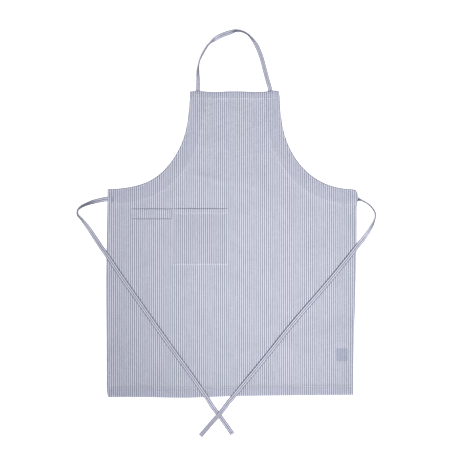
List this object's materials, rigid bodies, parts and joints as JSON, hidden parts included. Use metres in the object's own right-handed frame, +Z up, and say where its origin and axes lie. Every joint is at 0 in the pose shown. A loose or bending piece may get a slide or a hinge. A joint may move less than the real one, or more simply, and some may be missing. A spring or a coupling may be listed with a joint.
{
  "type": "butcher apron",
  "caption": "Full-length bib apron in striped woven cloth, laid flat, with curved armholes, patch pocket, towel loop, neck strap and crossed side ties.",
  "frame": {"origin": "middle of the resting plane under the apron's cloth and neck strap, leaving out the two ties", "axes": "+X to the right as the front is seen, +Y from the bottom hem towards the neck strap, +Z up from the table out of the apron's front"},
  "size_m": [0.844, 1.1488, 0.0124],
  "materials": {
    "striped_cloth": "plain-woven cotton and linen with fine grey-blue and white lengthwise stripes, matt",
    "facing_cloth": "the same striped cloth, cut as shaped facings, matt",
    "tape": "strip of the striped cloth folded and edge-stitched into flat tape, matt",
    "thread": "spun sewing thread, near white, slight sheen",
    "label": "woven care label, blank, satin"
  },
  "bodies": {
    "cloth": {"body_panel": "striped_cloth", "left_armhole_facing": "facing_cloth", "right_armhole_facing": "facing_cloth", "pocket_panel": "striped_cloth", "towel_loop": "striped_cloth", "care_label": "label", "neck_strap_tails": "tape", "left_tie_tail": "tape", "right_tie_tail": "tape", "bib_hem_stitching": "thread", "bottom_hem_stitching": "thread", "left_side_stitching": "thread", "right_side_stitching": "thread", "left_armhole_stitching": "thread", "right_armhole_stitching": "thread", "pocket_seam_stitching": "thread", "pocket_hem_stitching": "thread", "pocket_corner_bartacks": "thread", "towel_loop_stitching": "thread", "care_label_stitching": "thread", "neck_strap_bartacks": "thread", "left_tie_bartack": "thread", "right_tie_bartack": "thread"},
    "neck_loop": {"neck_strap": "tape"},
    "left_tie": {"left_tie": "tape"},
    "right_tie": {"right_tie": "tape"}
  },
  "joints": [
    {"name": "neck_fold", "type": "hinge", "parent": "cloth", "child": "neck_loop", "pos_m": [0.006, 0.342, 0.0075], "axis": [1, 0, 0], "range_deg": [0, 180]},
    {"name": "left_tie_swing", "type": "hinge", "parent": "cloth", "child": "left_tie", "pos_m": [-0.357, 0.038, 0], "axis": [0, 0, -1], "range_deg": [0, 70]},
    {"name": "right_tie_swing", "type": "hinge", "parent": "cloth", "child": "right_tie", "pos_m": [0.353, 0.038, 0], "axis": [0, 0, 1], "range_deg": [0, 70]}
  ]
}
